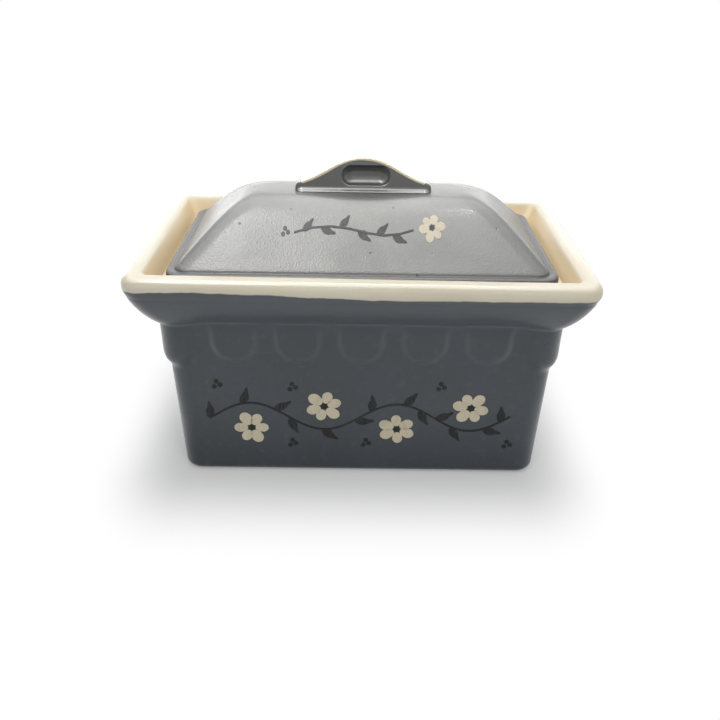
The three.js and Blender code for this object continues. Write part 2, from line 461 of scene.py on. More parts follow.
def wipedMask(tree, place, s):
    split = tree.node("ShaderNodeSeparateXYZ", {0: place})
    end = rimHalf[0]
    along = tree.span(split.outputs[0], -end * mm, end * mm, kind="LINEAR")
    line = tree.node("ShaderNodeFloatCurve", {"Value": along})
    curve = line.mapping.curves[0]
    places = [((x + end) / (2 * end), (z - s["low"]) / (s["high"] - s["low"])) for x, z in s["places"]]
    curve.points[0].location = places[0]
    curve.points[1].location = places[-1]
    for x, z in places[1:-1]:
        curve.points.new(x, z)
    line.mapping.update()
    height = tree.span(line.outputs[0], 0, 1, s["low"] * mm, s["high"] * mm, kind="LINEAR")
    reach, blur = s["wander"] * mm, s["blur"] * mm
    wander = tree.noise(place, *s["wanderNoise"])
    wander = tree.span(wander, *s["wanderSpan"], -reach, reach, kind="LINEAR")
    over = tree.maths("SUBTRACT", split.outputs[2], tree.maths("ADD", height, wander))
    return tree.span(over, -blur, blur), over


def dishGlaze():
    material, tree = newMaterial("dishGreyGlaze")
    place = tree.objectPlace()
    grey = greyTone(tree, place, greyGlazeSettings)
    cream = creamTone(tree, place, creamGlazeSettings)
    mask, over = wipedMask(tree, place, wipedLine)
    full, gone = [away * mm for away in wipedLine["edge"]]
    edge = tree.span(tree.maths("ABSOLUTE", over), full, gone, wipedLine["edgeShare"], 0.0)
    cream = tree.mix(edge, cream, wipedLine["edgeTone"])
    tone = tree.mix(mask, grey, cream)
    glazeShader(tree, place, tone, greyGlazeSettings, glazeBump(tree, place, greyGlazeSettings))
    return material


def creamGlaze():
    material, tree = newMaterial("creamGlaze")
    place = tree.objectPlace()
    tone = creamTone(tree, place, creamGlazeSettings)
    glazeShader(tree, place, tone, creamGlazeSettings, glazeBump(tree, place, greyGlazeSettings))
    return material


def bareClay(s):
    material, tree = newMaterial("bareClay")
    grain = tree.noise(tree.objectPlace(), *s["grain"])
    tone = tree.mix(grain, s["tone"], s["lightTone"])
    tree.coat(tone, s["rough"], tree.bump(grain, *s["grainBump"]))
    return material


def lidGlaze(name, s):
    material, tree = newMaterial(name)
    place = tree.objectPlace()
    tone = greyTone(tree, place, s)
    pebbles, holes = s["pebbles"], s["pinholes"]
    reach = holes["radius"] * holes["scale"]
    cells = tree.node("ShaderNodeTexVoronoi", {"Vector": place, "Scale": holes["scale"]})
    chosen = tree.node("ShaderNodeSeparateColor", {0: cells.outputs["Color"]}).outputs[0]
    pit = tree.span(cells.outputs["Distance"], reach, reach * holes["bottom"])
    pit = tree.maths("MULTIPLY", pit, tree.maths("LESS_THAN", chosen, holes["share"]))
    tone = tree.mix(pit, tone, holes["tone"])
    height = tree.node("ShaderNodeSeparateXYZ", {0: place}).outputs[2]
    smoothAt, roughAt = [level * mm for level in pebbles["fade"]]
    depth = tree.span(height, smoothAt, roughAt, 0.0, pebbles["depth"] / holes["depth"])
    sockets = {"Vector": place, "Scale": pebbles["scale"], "Smoothness": pebbles["soft"]}
    grain = tree.node("ShaderNodeTexVoronoi", sockets, feature="SMOOTH_F1").outputs["Distance"]
    grain = tree.maths("SUBTRACT", tree.maths("MULTIPLY", grain, depth), pit)
    normal = tree.bump(grain, holes["depth"], under=glazeBump(tree, place, s))
    glazeShader(tree, place, tone, s, normal)
    return material


def handleGlaze(s, creams):
    material, tree = newMaterial("handleGlaze")
    place = tree.objectPlace()
    # painted shade: the handle's grey is a darker copy of the lid's
    grey = tree.mix(s["handleShade"], greyTone(tree, place, s), s["poolTone"])
    cream = tree.mix(s["crestShare"], creamTone(tree, place, creams), creams["crestTone"])
    wander = tree.span(tree.noise(place, *s["wander"]), *s["wanderSpan"], kind="LINEAR")
    crest = tree.span(tree.maths("ADD", tree.attribute("crest"), wander), *s["crestEdge"])
    tone = tree.mix(crest, grey, cream)
    glazeShader(tree, place, tone, s, glazeBump(tree, place, s))
    return material


creamInside = creamGlaze()


# dish

dishSettings = {
    "height": 102.0,
    "baseRound": 3.5,
    "wallFoot": -16.8,
    "wallTop": -13.0,
    "neck": -11.2,
    "neckHeight": 79.4,
    "neckHollow": 20.0,  # height of the soft hollow under the neck
    "hollowPull": (0.45, 0.5, 0.14),  # shares of its height and reach that bend it
    "neckDip": 2.0,  # the neck hangs lower at the corners
    "dipReach": (12, 26),  # up and down the wall, along it
    "neckThin": (0.16, 0.7),  # the glaze runs thin on the mouldings: how thin, over what height
    # painted light: the ovolo is paler toward its lower edge, standing in for light reflected up off the
    # floor, with some thin glaze; palest, how much less at the top, over what height
    "ovoloPaintedLight": (0.5, 0.2, 9),
    "bandThin": (0.3, 0.04, 94.2, 0.8),
    "ovoloPull": (0.83, 0.5),
    "band": -1.0,
    "bandHeight": 94.0,
    "arris": ((-1.15, 93.75), (-0.93, 94.15), (-0.7, 94.7), (-0.4, 95.5), (-0.12, 96.4), (0, 97.4)),
    "rimRound": (2.7, 3.6),  # depth and height of the rim's rolled edge
    "rimTilt": 0.6,  # the rim was fired a little out of level
    "tiltFrom": (94.6, 99.6),
    "innerWall": ((-6.4, 102.0), (-9.1, 100.0), (-12.4, 95.2)),  # land's edge, top and foot of the slope
    "insideShadeFrom": 2.2,  # the painted shade inside is full from this far below the rim
    "seat": (-13.7, -20.8, 94.5),  # outer and inner edge, height
    "seatSoft": 2.4,
    "seatRound": 1,
    "insideFoot": -23.5,
    "floor": 7.0,
    "floorRound": 8.0,
    "floorCorner": 0.9,  # how fast the corners close on the floor
    "corners": {"body": 9.0, "rim": 8.0, "inner": 3.6, "cavity": 10.0},
    "cuts": {"long": 74, "corner": 14, "end": 38},
}
lobeSettings = {
    "long": (11.4, (0, 27.8, 55.5)),  # half width, middles
    "ends": (8.75, (0, 22.5)),
    "cornerReach": 16.0,
    "side": {"rise": 1.4, "tipHeight": 57.9, "tip": 12.0, "edge": 3.4, "line": 0.3},  # the mould is worn soft
    "corner": {"rise": 3.8, "tipHeight": 54.2, "tip": 12.0, "edge": 9.2, "line": 0.05},
    "lineAt": (0.6, 0.3),  # place and width of the pale line on a lobe's edge
    "lineFade": 8,
    "finestFrom": 42.0,
}


def dishProfile(s, lobe):
    rows = []

    def add(points, corner, part):
        for x, z in points:
            size = corner(x, z) if callable(corner) else corner
            rows.append((rimHalf[0] + x, rimHalf[1] + x, size, z, part))

    corners = s["corners"]
    foot, base = s["wallFoot"], s["baseRound"]
    add(arcPoints(foot - base, base, base, base, -90, 0, 7), lambda x, z: corners["body"] + x - foot, "base")
    wallEnd = s["neckHeight"] - s["neckHollow"]

    def wallAt(z):
        return foot + (s["wallTop"] - foot) * (z - base) / (s["neckHeight"] - base)

    heights = [base + (lobe["finestFrom"] - base) * i / 12 for i in range(1, 13)]
    fine = int((wallEnd - lobe["finestFrom"]) / 0.8)
    heights += [lobe["finestFrom"] + (wallEnd - lobe["finestFrom"]) * i / fine for i in range(1, fine + 1)]
    add([(wallAt(z), z) for z in heights], corners["body"], "wall")
    reach, hollow = s["neck"] - wallAt(wallEnd), s["neckHollow"]
    start, end = (s["neck"], s["neckHeight"]), (s["band"], s["bandHeight"])
    up, inward, down = s["hollowPull"]
    knots = (
        (wallAt(wallEnd), wallEnd),
        (wallAt(wallEnd + hollow * up), wallEnd + hollow * up),
        (start[0] - reach * inward, start[1] - hollow * down),
        start,
    )
    add(curvePoints(knots, 14)[1:-1], corners["body"], "wall")
    pull = [low + share * (high - low) for share, low, high in zip(s["ovoloPull"], start, end)]
    handles = [tuple(p + 2 / 3 * (c - p) for p, c in zip(point, pull)) for point in (start, end)]
    ovolo = curvePoints((start, handles[0], handles[1], end), 18)
    tighter = (corners["rim"] - corners["body"]) / (end[1] - start[1])
    add(ovolo[:-1], lambda x, z: corners["body"] + tighter * (z - start[1]), "ovolo")
    add(s["arris"], corners["rim"], "band")
    top, size = s["height"], s["rimRound"]
    add(arcPoints(-size[0], top - size[1], *size, 0, 90, 11), corners["rim"], "rim")
    landEdge, wallTop, wallFoot = s["innerWall"]
    land = linePoints((-size[0], top), landEdge, 4)[1:-1]
    for (x, z), share in zip(land, (0.25, 0.5, 0.75)):
        add([(x, z)], corners["rim"] + (corners["inner"] - corners["rim"]) * share, "rim")
    seatOuter, seatInner, seat = s["seat"]
    slope = (wallTop[0] - wallFoot[0]) / (wallTop[1] - wallFoot[1])
    over = (wallTop[0] + slope * (top - wallTop[1]), top)  # where the slope would meet the rim's top
    under = (wallFoot[0] - slope * (wallFoot[1] - seat), seat)
    add(curvePoints((landEdge, over, over, wallTop), 9), corners["inner"], "inner")
    add(linePoints(wallTop, wallFoot, 6)[1:], corners["inner"], "inner")
    add(curvePoints((wallFoot, under, under, (seatOuter, seat)), 6)[1:], corners["inner"], "inner")
    add([(seatOuter - s["seatSoft"], seat)], corners["inner"], "inner")
    edge = s["seatRound"]
    add(arcPoints(seatInner + edge, seat - edge, edge, edge, 90, 180, 5), corners["inner"], "inner")
    inFoot, floor = s["insideFoot"], s["floorRound"]
    wallTop, wallLow = (seatInner, seat - edge), (inFoot, s["floor"] + floor)
    for i, (x, z) in enumerate(linePoints(wallTop, wallLow, 14)[1:], 1):
        grown = corners["inner"] + (corners["cavity"] - corners["inner"]) * i / 14
        add([(x, z)], grown, "inner")
    bottom = arcPoints(inFoot - floor, s["floor"] + floor, floor, floor, 0, -90, 9)[1:]
    add(bottom, lambda x, z: corners["cavity"] + (x - inFoot) * s["floorCorner"], "inner")
    return rows


def nearestLobe(x, y, z, row, lobe):
    length, width, corner = row[:3]
    sideX, sideY = length - corner, width - corner
    if x <= sideX:
        fromDiagonal = sideX - x + corner * pi / 4
        half, middles, along = *lobe["long"], x
    elif y <= sideY:
        fromDiagonal = sideY - y + corner * pi / 4
        half, middles, along = *lobe["ends"], y
    else:
        fromDiagonal = corner * abs(atan2(y - sideY, x - sideX) - pi / 4)
        half, middles, along = 1, (), 0
    cornerHalf = lobe["cornerReach"] - corner * (1 - pi / 4)
    places = [(abs(along - middle), half, lobe["side"]) for middle in middles]
    places.append((fromDiagonal, cornerHalf, lobe["corner"]))
    best = (0, 0, lobe["side"])
    for off, reach, kind in places:
        under = max(kind["tipHeight"] + kind["tip"] - z, 0)
        inside = (1 - hypot(off / reach, under / kind["tip"])) * (reach + kind["tip"]) / 2
        share = inside / kind["edge"]
        if smooth(share) * kind["rise"] > best[0]:
            best = (smooth(share) * kind["rise"], share, kind)
    return *best, fromDiagonal


def thinGlazeAndLight(z, part, s):
    over = z - s["neckHeight"]
    if part == "band":
        least, more, middle, width = s["bandThin"]
        return least + more * bell(z - middle, width)
    # the ovolo's paleness is mostly painted light reflected off the floor
    if part == "ovolo":
        most, less, height = s["ovoloPaintedLight"]
        return most - less * smooth(over / height)
    most, width = s["neckThin"]
    return most * bell(over, width)


def dressLobes(dish, rows, plateVerts, count, s, lobe):
    everyVert = range(len(dish.data.vertices))
    groups, most = dish.vertex_groups, lobe["corner"]["rise"]
    pushes = (("lobesAlongX", "X", most), ("lobesAlongY", "Y", most), ("neckDip", "Z", -s["neckDip"]))
    for name, _, _ in pushes:
        groups.new(name=name).add(everyVert, 0, "REPLACE")
    thinAndLit, insideShade = pointValues(dish, "thinAndLit", "insideShade")
    # painted shade is full on the middle of the floor
    for i in range(plateVerts + (len(rows) - 1) * count, len(everyVert)):
        insideShade.data[i].value = 1
    for number, row in enumerate(rows[1:], 1):
        length, width, corner, z, part = row
        still = s["neck"] - (length - rimHalf[0])  # what is left to the neck
        atNeck = 1 - smooth(abs(z - s["neckHeight"]) / s["dipReach"][0])
        for i in rowVerts(number, plateVerts, count):
            # painted shade grows down the inside from the rim
            if part == "inner":
                insideShade.data[i].value = smooth((s["height"] - z) / s["insideShadeFrom"])
            if part not in ("wall", "ovolo", "band"):
                continue
            co = dish.data.vertices[i].co
            x, y = co.x / mm, co.y / mm
            lift, share, kind, fromDiagonal = nearestLobe(x, y, z, row, lobe)
            groups["neckDip"].add([i], atNeck * (1 - smooth(fromDiagonal / s["dipReach"][1])), "REPLACE")
            line = 0
            if part == "wall" and min(lift, still) > 0.001:
                lift = (lift ** -6 + still ** -6) ** (-1 / 6) / most  # runs softly into the neck
                turn = atan2(max(y - width + corner, 0), max(x - length + corner, 0))
                if y < width - corner + 0.01:
                    turn = 0
                if x < length - corner + 0.01:
                    turn = pi / 2
                groups["lobesAlongX"].add([i], lift * cos(turn), "REPLACE")
                groups["lobesAlongY"].add([i], lift * sin(turn), "REPLACE")
                faded = smooth((s["neckHeight"] - z) / lobe["lineFade"])
                line = kind["line"] * faded * bell(share - lobe["lineAt"][0], lobe["lineAt"][1])
            thinAndLit.data[i].value = max(line, thinGlazeAndLight(z, part, s))
    for name, axis, reach in pushes:
        applyModifier(dish, "DISPLACE", vertex_group=name, direction=axis, strength=reach * mm, mid_level=0)
        groups.remove(groups[name])


def buildDish(s, lobe):
    rows = dishProfile(s, lobe)
    dish, plateVerts, count = quarterShell("dish_body", [row[:4] for row in rows], s["cuts"])
    for material in (dishGlaze(), creamInside, bareClay(bareClaySettings)):
        dish.data.materials.append(material)
    for number, face in enumerate(dish.data.polygons):
        row = (number - 1) // (count - 1) + 1 if number else 0
        if row < 2:
            face.material_index = 2
        elif row >= len(rows) or rows[row][4] == "inner":
            face.material_index = 1
    dressLobes(dish, rows, plateVerts, count, s, lobe)
    mirrorQuarter(dish)
    low, high = s["tiltFrom"]
    for vert in dish.data.vertices:
        vert.co.z -= s["rimTilt"] * smooth((vert.co.z / mm - low) / (high - low)) * vert.co.x / rimHalf[0]
    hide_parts("dish")
    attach(dish, "dish")
    print("dish: rows", len(rows), "faces", len(dish.data.polygons))


buildDish(dishSettings, lobeSettings)


# lid

lidSettings = {
    "crown": 124.0,
    "crownHalfWidth": 10.0,
    "foot": -21.0,
    "step": 2.5,  # height of the steep foot of the slope
    "footPull": 1.2,
    "footEase": (0.1, 0.5),
    "groove": ((-19.0, 0.15), (-18.6, -0.25), (-18.1, -0.35), (-17.6, -0.2), (-17.1, 0)),
    "groovePool": (0.5, 0.6),  # depth that fills the groove with glaze, and how far
    "flange": -15.3,
    "flangeTop": 99.3,
    "flangeRound": (1.5, 1.1),
    "seat": dishSettings["seat"][2],
    "seatRound": 0.6,
    "hollow": -24.3,
    "wall": 5.0,
    "corner": 8.0,
    "hip": (6.8, 9.4),  # corner at the foot and at the crown
    "slopePull": (0.36, 0.52),
    "shoulderPull": (0.64, 0.97),
    "cuts": {"long": 44, "corner": 14, "end": 20},
}


def domePoints(s, foot, low, high, steps):
    run = rimHalf[1] + foot - s["crownHalfWidth"]
    rise = high - low
    pulls = [(foot - pull[0] * run, low + pull[1] * rise) for pull in (s["slopePull"], s["shoulderPull"])]
    return curvePoints(((foot, low), *pulls, (foot - run, high)), steps)[::-1]


def lidProfile(s):
    rows = []

    def add(points, part):
        for x, z in points:
            share = (z - top) / (s["crown"] - top)
            corner = s["hip"][0] + (s["hip"][1] - s["hip"][0]) * share if part == "dome" else s["corner"]
            rows.append((rimHalf[0] + x, rimHalf[1] + x, corner, z, part))

    top = s["flangeTop"]
    start, low = (s["foot"], top + s["step"]), [(x, top + rise) for x, rise in s["groove"]]
    dome = domePoints(s, *start, s["crown"], 34)
    add(dome, "dome")
    pull = [here + (here - before) * s["footPull"] for here, before in zip(start, dome[-2])]
    ease = (low[0][0] - s["footEase"][0], low[0][1] + s["footEase"][1])
    add(curvePoints((start, pull, ease, low[0]), 6)[1:], "dome")
    add(low[1:], "groove")
    across, down = s["flangeRound"]
    add(arcPoints(s["flange"] - across, top - down, across, down, 90, 0, 7), "flange")
    edge = s["seatRound"]
    add(arcPoints(s["flange"] - edge, s["seat"] + edge, edge, edge, 0, -90, 3), "flange")
    add(domePoints(s, s["hollow"], s["seat"], s["crown"] - s["wall"], 20)[::-1], "under")
    return rows


def buildLid(s):
    rows = lidProfile(s)
    lid, plateVerts, count = quarterShell("lid_shell", [row[:4] for row in rows], s["cuts"], (0,))
    pool = pointValues(lid, "pool")[0]
    depth, most = s["groovePool"]
    for number, row in enumerate(rows[1:], 1):
        if row[4] != "groove":
            continue
        for i in rowVerts(number, plateVerts, count):
            pool.data[i].value = min((s["flangeTop"] - row[3]) / depth, most)
    edgeGlaze = lidGlaze("lidEdgeGlaze", flangeGlazeSettings)
    for material in (lidGlaze("lidGreyGlaze", lidGlazeSettings), creamInside, edgeGlaze):
        lid.data.materials.append(material)
    for number, face in enumerate(lid.data.polygons):
        row = (number - 1) // (count - 1) + 1 if number else 0
        part = rows[row][4] if row < len(rows) else "under"
        face.material_index = {"dome": 0, "under": 1, "groove": 2, "flange": 2}[part]
    mirrorQuarter(lid)
    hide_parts("lid")
    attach(lid, "lid")
    print("lid: rows", len(rows), "faces", len(lid.data.polygons))
    return lid


lid = buildLid(lidSettings)


# handle

handleSettings = {
    "length": 62.0,
    "height": 15.0,
    "thickness": 9.0,
    "crest": 5.8,  # thickness at the top
    "tail": 4.2,
    "tipRound": 2.6,
    "round": 0.9,
    "tailPull": (0.55, 0.49),
    "crownPull": (0.37, 1.0),
    "foot": {
        "spread": 2.6,
        "height": 1.6,
        "arris": 0.1,
        "pulls": ((0.7, 0.6), (0.3, 1.1)),
        "short": 1.2,  # it ends this far inside the tails
        "sink": 0.4,
        "corner": 2.0,
        "ends": 0.2,  # it spreads less at the ends
        "cuts": {"long": 20, "corner": 8, "end": 4},
    },
    "base": lidSettings["crown"],
    "below": 2.0,  # clay pushed under the crown, cut off level at the end
    "scoop": {
        "width": 22.0, "depth": 3.2, "height": 9.1, "middle": 7.3,
        "corner": 4.2, "hollow": 2.9, "draft": 0.2, "shift": 1.2,
    },
    "ring": {"most": 0.85, "wall": -1.2, "lip": 1.4, "reach": 1.6, "turn": 2.0, "low": 0.8},  # paler glaze round the scoop: painted light on its shaded walls and a painted highlight along its lip, with thin glaze at its edge
    "voxel": 0.32,
    "softening": 7,
    "creamEdge": 1.0,
    "bareTip": (3.6, 1.5, 0.6),  # the cream stops this far from the tails' ends, fades, how much of it
}


def ogeeEdge(s):
    end, top, tip = s["length"] / 2, s["height"], s["tipRound"]
    tailPull = (s["tailPull"][0] * end, s["tailPull"][1] * top)
    return curvePoints(((end - tip, s["tail"]), tailPull, (s["crownPull"][0] * end, top), (0, top)), 44)


def ogeePlate(s):
    end, tip, low = s["length"] / 2, s["tipRound"], s["below"]
    half = [(end, -low)] + arcPoints(end - tip, s["tail"] - tip, tip, tip, 0, 75, 5) + ogeeEdge(s)
    outline = half + [(-x, z) for x, z in half[-2::-1]]
    plate = drawLine([(x, -s["thickness"] / 2, z) for x, z in outline])
    plate.name = "lid_grip"
    bpy.ops.mesh.edge_face_add()
    bpy.ops.mesh.extrude_region_move(TRANSFORM_OT_translate={"value": (0, s["thickness"] * mm, 0)})
    selectAll()
    bpy.ops.mesh.normals_make_consistent(inside=False)
    pickEdges(plate, lambda a, b: abs(a.y - b.y) < near and max(a.z, b.z) > 0)  # both faces' outlines
    roundOff(s["round"] * mm, 4)
    leaveEdit()
    return plate


def footPlinth(s):
    foot = s["foot"]
    size, low, ends = foot["spread"], foot["arris"], foot["ends"]
    length, width = s["length"] / 2 - foot["short"], s["thickness"] / 2 - foot["sink"]
    pulls = [(size * share, height) for share, height in foot["pulls"]]
    points = [(size, -s["below"]), (size, low)]
    points += curvePoints(((size, low), *pulls, (0, foot["height"])), 8)[1:]
    rows = [(length + x * ends, width + x, foot["corner"] + x * ends, z) for x, z in points]
    plinth, _, _ = quarterShell("footPlinth", rows, foot["cuts"], (0,))
    mirrorQuarter(plinth)
    return plinth


def scoopTool(s, side):
    scoop = s["scoop"]
    clearSelection()
    bpy.ops.mesh.primitive_cube_add(size=1)
    pocket = bpy.context.object
    editAll()
    size = (scoop["width"] * mm, 2 * scoop["depth"] * mm, scoop["height"] * mm)
    resize(size)
    pickEdges(pocket, lambda a, b: abs(a.y - b.y) > mm)  # the four edges that run inwards
    roundOff(scoop["corner"] * mm, 10)
    for end in (-1, 1):
        pick(pocket, lambda co: co.y * side * end > mm)
        widen = 1 + end * scoop["draft"]
        resize((widen, 1, widen))
    pickEdges(pocket, lambda a, b: abs(a.y - b.y) < mm / 10 and a.y * side < 0)
    roundOff(scoop["hollow"] * mm, 6)
    leaveEdit()
    makeActive(pocket)
    face = s["thickness"] + (s["crest"] - s["thickness"]) * scoop["middle"] / s["height"]
    pocket.location = (scoop["shift"] * mm, side * face / 2 * mm, scoop["middle"] * mm)
    bpy.ops.object.transform_apply(location=True, rotation=False, scale=False)
    return pocket


def scoopLitRing(s, x, z):
    scoop, ring = s["scoop"], s["ring"]
    corner, up = scoop["corner"], z - scoop["middle"]
    across = abs(x - scoop["shift"]) - scoop["width"] / 2 + corner
    along = abs(up) - scoop["height"] / 2 + corner
    out = hypot(max(across, 0), max(along, 0)) + min(max(across, along), 0) - corner
    high, low = [smooth((way * up - ring["turn"]) / ring["turn"]) for way in (1, -1)]
    middle = ring["wall"] + ring["lip"] * high  # on the side walls, and along the lip at the top: painted light lifting the scoop's shade
    return ring["most"] * smooth(1 - abs(out - middle) / ring["reach"]) * (1 - ring["low"] * low)


def buildHandle(s):
    grip = ogeePlate(s)
    taper = (s["crest"] - s["thickness"]) / s["thickness"]
    span = (s["height"] + s["below"]) / s["height"]
    applyModifier(
        grip, "SIMPLE_DEFORM", deform_method="TAPER", deform_axis="Z", factor=taper * span, lock_x=True,
    )
    plinth = footPlinth(s)
    makeActive(grip)
    plinth.select_set(True)
    bpy.ops.object.join()
    applyModifier(grip, "REMESH", mode="VOXEL", voxel_size=s["voxel"] * mm)  # plate and foot become one body
    for side in (-1, 1):
        tool = scoopTool(s, side)
        applyModifier(grip, "BOOLEAN", operation="DIFFERENCE", object=tool, solver="EXACT")
        drop(tool)
    applyModifier(grip, "REMESH", mode="VOXEL", voxel_size=s["voxel"] * mm)
    applyModifier(grip, "SMOOTH", factor=0.5, iterations=s["softening"])
    makeActive(grip)
    editAll()
    bpy.ops.mesh.bisect(plane_co=(0, 0, near), plane_no=(0, 0, 1), clear_inner=True, use_fill=True)
    selectAll()
    move((0, 0, s["base"] * mm))
    leaveEdit()
    end, edge = s["length"] / 2, ogeeEdge(s)
    crest, thinAndLit = pointValues(grip, "crest", "thinAndLit")
    bareFrom, fade, most = s["bareTip"]
    for vert in grip.data.vertices:
        x, z = abs(vert.co.x) / mm, vert.co.z / mm - s["base"]
        away = min(hypot(x - px, z - pz) for px, pz in edge)
        bare = smooth((x - end + bareFrom) / fade)
        crest.data[vert.index].value = 1 - min(away / s["creamEdge"], 2) / 2 - most * bare
        # paler round the scoop: painted light, with thin glaze
        thinAndLit.data[vert.index].value = scoopLitRing(s, vert.co.x / mm, z)
    finishMesh(grip)
    grip.data.materials.append(handleGlaze(handleGlazeSettings, creamGlazeSettings))
    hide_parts("lid_handle")
    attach(grip, "lid")
    print("handle: faces", len(grip.data.polygons))


buildHandle(handleSettings)


# painted garland: flat brush marks, laid on the front wall and on the lid's front slope

paintSettings = {
    "thick": 0.3,
    "proud": {"vine": -0.3, "petals": -0.1},  # share of it that stands out of the glaze
    "leaf": (7.6, 3.9),  # length, width
    "leafPoint": ((0.0, 1.15, 0.86), (0.25, 1.25, 0.7)),  # from where, how far drawn out, how far pinched
    "leafBow": 24,
    "leafTurn": 46,
    "leafTip": 6,
    "leafLift": 0.4,
    "petal": (6.6, 4.9),
    "petalPoint": ((0.1, 1.0, 1.08),),
    "petalRing": 1.7,
    "petalCount": 6,
    "petalLean": (5, 2.1),  # no two petals are quite alike
    "petalGrown": (0.09, 1.3, 1.9),
    "dot": 1.15,
    "eye": (1.6, 1.4),  # the dot in a flower: shift and size
    "stroke": 0.95,
    "sharp": 40,  # edges that turn by more degrees stay sharp
    "wave": (-50.0, 67.0, 7.0, 27.0),  # crest, length, height and middle of the vine
    "vineEnd": 69.0,
    "vineSteps": 84,
    "leafStep": 7.4,
    "leafGrown": (0.9, 0.16, 1.7),  # size, how much it varies, how fast along the vine
    "flowers": [(-50.0, 21.0), (-16.5, 33.0), (17.0, 21.0), (50.5, 33.0)],
    "flowerTurn": 17,
    "flowerRoom": 11.0,
    "berryDots": ((0, 0), (2.6, 0.9), (1.0, 2.7)),
    "berrySize": 1,
    "berries": [(-67.0, 43.0), (-33.0, 42.0), (0.5, 12.0), (34.0, 43.0), (66.5, 12.0), (-33.5, 11.5)],
}
lidPaintSettings = {
    **paintSettings,
    "leaf": (5.8, 3.0),
    "leafLift": 0.3,
    "petal": (4.4, 3.3),
    "petalRing": 1.19,
    "dot": 0.9,
    "eye": (1.2, 1.35),
    "stroke": 0.75,
    "stem": [
        (-30, -31.5), (-22, -29.6), (-14, -29.0), (-6, -29.8),
        (2, -31.4), (9, -32.2), (16, -31.6), (22, -30.0),
    ],
    "leafTurns": [(-26, 38), (-18, -32), (-10, 40), (-2, -46), (6, 30), (13, -36)],
    "flower": (30.0, -28.6),
    "flowerTurn": 12,
    "berry": (-35.5, -31.8),
    "berrySize": 0.8,
    "above": 128.0,
}


slipSettings = {
    "lean": 35,  # of the brush
    "stretch": (1, 1, 0.25),
    "brush": (700, 3, 0.6),
    "cloud": (130, 2, 0.5),
    "wornSpan": (0.2, 0.42),
    "roughSpan": (0.3, 0.7, 0.26, 0.42),
    "ridges": (0.00006, 0.7),  # depth, strength
    "sheen": 0.3,
}


def slipPaint(name, tone, wornTone, s):
    material, tree = newMaterial(name)
    place = tree.objectPlace()
    sockets = {"Vector": place, "Rotation": (0, radians(s["lean"]), 0), "Scale": s["stretch"]}
    streaks = tree.node("ShaderNodeMapping", sockets).outputs[0]
    brush = tree.noise(streaks, *s["brush"])
    cloud = tree.noise(place, *s["cloud"])
    tone = tree.mix(tree.span(tree.maths("MULTIPLY", brush, cloud), *s["wornSpan"]), tone, wornTone)
    rough = tree.span(brush, *s["roughSpan"])
    tree.coat(tone, rough, tree.bump(brush, *s["ridges"]), {"Specular IOR Level": s["sheen"]})
    return material


slips = {
    "vine": slipPaint("blackSlip", (0.010, 0.010, 0.012, 1), (0.026, 0.027, 0.030, 1), slipSettings),
    "petals": slipPaint("creamSlip", (0.70, 0.63, 0.47, 1), (0.60, 0.54, 0.40, 1), slipSettings),
}


def brushMark(size, point, bow=0):
    length, width = [value * mm for value in size]
    clearSelection()
    bpy.ops.mesh.primitive_circle_add(vertices=22, radius=0.5, fill_type="NGON")
    mark = bpy.context.object
    editAll()
    resize((length, width, 1))
    for start, pull, pinch in point:  # draws the far end out to a tip
        pick(mark, lambda co: co.x > start * length)
        resize((pull, pinch, 1), (start * length, 0, 0))
    selectAll()
    move((length / 2, 0, 0))
    leaveEdit()
    if bow:
        applyModifier(mark, "SIMPLE_DEFORM", deform_method="BEND", deform_axis="Z", angle=radians(bow))
    return mark


def stamp(mark, places):
    copies = []
    for u, v, turn, size in places:
        makeActive(mark)
        bpy.ops.object.duplicate()
        copy = bpy.context.object
        copy.location = (u * mm, v * mm, 0)
        copy.rotation_euler = (0, 0, radians(turn))
        copy.scale = (size, size, 1)
        copies.append(copy)
    return copies


def paintBrushes(s):
    leaf = brushMark(s["leaf"], s["leafPoint"], s["leafBow"])
    dot = brushMark((2 * s["dot"], 2 * s["dot"]), ())
    petal = brushMark(s["petal"], s["petalPoint"])
    return leaf, dot, petal


def stroke(points, width):
    line = drawLine([(u, v, 0) for u, v in points])
    bpy.ops.mesh.extrude_edges_move(TRANSFORM_OT_translate={"value": (0, width * mm, 0)})
    leaveEdit()
    return line


def gather(name, pieces, material):
    clearSelection()
    for piece in pieces:
        piece.select_set(True)
    bpy.context.view_layer.objects.active = pieces[0]
    bpy.ops.object.transform_apply(location=True, rotation=True, scale=True)
    bpy.ops.object.join()
    whole = bpy.context.object
    whole.name = name
    whole.data.materials.clear()
    whole.data.materials.append(material)
    return whole


def flowerPlaces(s, u, v, turn):
    places, ring = [], s["petalRing"]
    most, leanStep = s["petalLean"]
    more, along, grownStep = s["petalGrown"]
    for i in range(s["petalCount"]):
        way, lean = turn + 360 / s["petalCount"] * i, most * sin(u + leanStep * i)
        grown = 1 + more * sin(along * u + grownStep * i)
        places.append((u + ring * cos(radians(way)), v + ring * sin(radians(way)), way + lean, grown))
    return places


def berryPlaces(s, u, v):
    return [(u + x * s["berrySize"], v + y * s["berrySize"], 0, 1) for x, y in s["berryDots"]]


